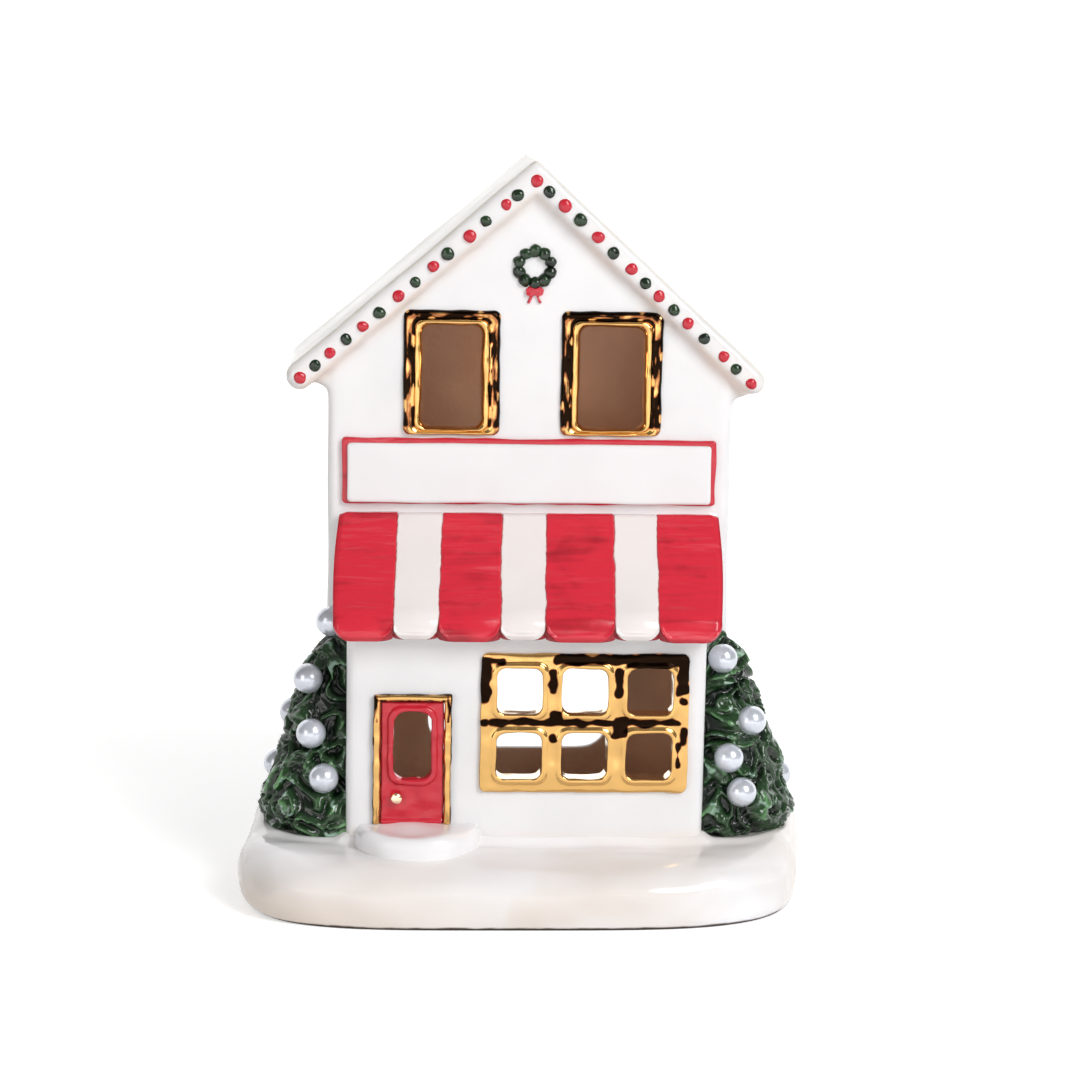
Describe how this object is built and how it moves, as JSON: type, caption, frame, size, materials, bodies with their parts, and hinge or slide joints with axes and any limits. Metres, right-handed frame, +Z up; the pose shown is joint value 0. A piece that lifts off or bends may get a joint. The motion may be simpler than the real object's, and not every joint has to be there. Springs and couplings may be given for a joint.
{
  "type": "miniature shop building",
  "caption": "Glazed ceramic miniature shop house on a snowy base with a gabled roof, striped awning, gilded windows and two decorated trees; open at the back for a tea light.",
  "frame": {"origin": "middle of the underside of the snow base, on the surface it stands on", "axes": "+Z up, the shopfront faces -Y, +X to the right as seen from the front"},
  "size_m": [0.155, 0.105, 0.1954],
  "materials": {
    "white_glaze": "glossy white ceramic glaze",
    "red_glaze": "glossy red ceramic glaze, brushed on",
    "gold_lustre": "mirror-bright gold lustre on ceramic",
    "green_glaze": "glossy dark green ceramic glaze",
    "pearl": "pearlescent coat"
  },
  "bodies": {
    "root": {"snow_base": "white_glaze", "front_gable_wall": "white_glaze", "left_front_pier": "white_glaze", "right_front_pier": "white_glaze", "rear_wall": "white_glaze", "left_side_wall": "white_glaze", "right_side_wall": "white_glaze", "shopfront_wall": "white_glaze", "shopfront_left_side": "white_glaze", "shopfront_right_side": "white_glaze", "roof_left": "white_glaze", "roof_right": "white_glaze", "sign_panel": "white_glaze", "awning_body": "white_glaze", "awning_stripe_2": "white_glaze", "awning_stripe_4": "white_glaze", "awning_stripe_6": "white_glaze", "door_step": "white_glaze", "sign_backing": "red_glaze", "awning_stripe_1": "red_glaze", "awning_stripe_3": "red_glaze", "awning_stripe_5": "red_glaze", "awning_stripe_7": "red_glaze", "door_leaf": "red_glaze", "wreath_bow": "red_glaze", "door_frame": "gold_lustre", "door_knob": "gold_lustre", "shop_window_frame": "gold_lustre", "left_window_frame": "gold_lustre", "right_window_frame": "gold_lustre", "wreath": "green_glaze", "left_tree": "green_glaze", "right_tree": "green_glaze", "left_pearl_1": "pearl", "left_pearl_2": "pearl", "left_pearl_3": "pearl", "left_pearl_4": "pearl", "left_pearl_5": "pearl", "left_pearl_6": "pearl", "left_pearl_7": "pearl", "left_pearl_8": "pearl", "left_pearl_9": "pearl", "right_pearl_1": "pearl", "right_pearl_2": "pearl", "right_pearl_3": "pearl", "right_pearl_4": "pearl", "right_pearl_5": "pearl", "right_pearl_6": "pearl", "right_pearl_7": "pearl", "right_pearl_8": "pearl"}
  },
  "joints": []
}
